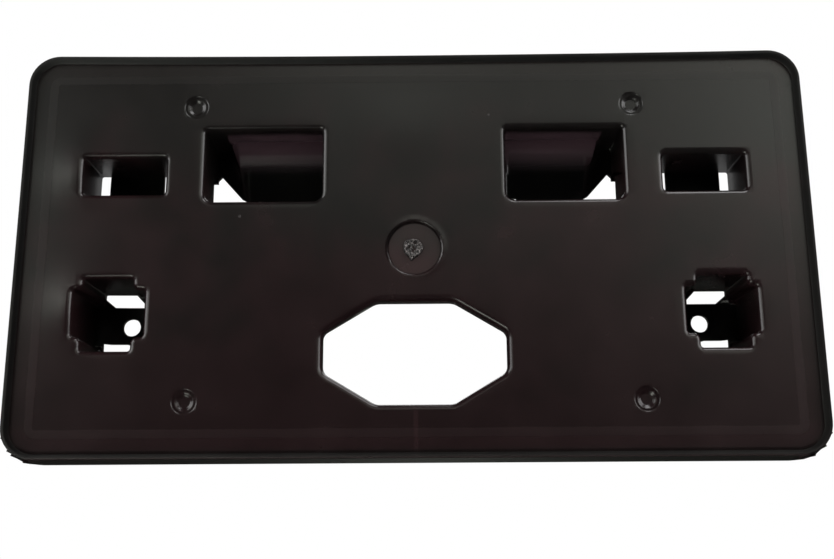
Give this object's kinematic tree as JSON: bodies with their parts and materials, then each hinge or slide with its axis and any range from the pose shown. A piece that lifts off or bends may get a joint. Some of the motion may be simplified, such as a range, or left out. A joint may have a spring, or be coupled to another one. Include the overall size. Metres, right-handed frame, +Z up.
{
  "type": "number plate holder",
  "caption": "Black moulded number plate holder: shallow rimmed tray with screw pilots, hook pockets, clip slots, screw wells and an eight-sided cable opening.",
  "frame": {"origin": "centre of the rectangle of plate screw pilots, on the plane of the sunk field that the plate lies against", "axes": "+X to the holder's right as seen from in front, +Y back through the field towards the bumper, +Z up with the holder on an upright bumper; the front faces -Y"},
  "size_m": [0.318, 0.0351, 0.1674],
  "materials": {
    "moulded_plastic": "satin, near black"
  },
  "bodies": {
    "root": {"plate_holder": "moulded_plastic"}
  },
  "joints": []
}
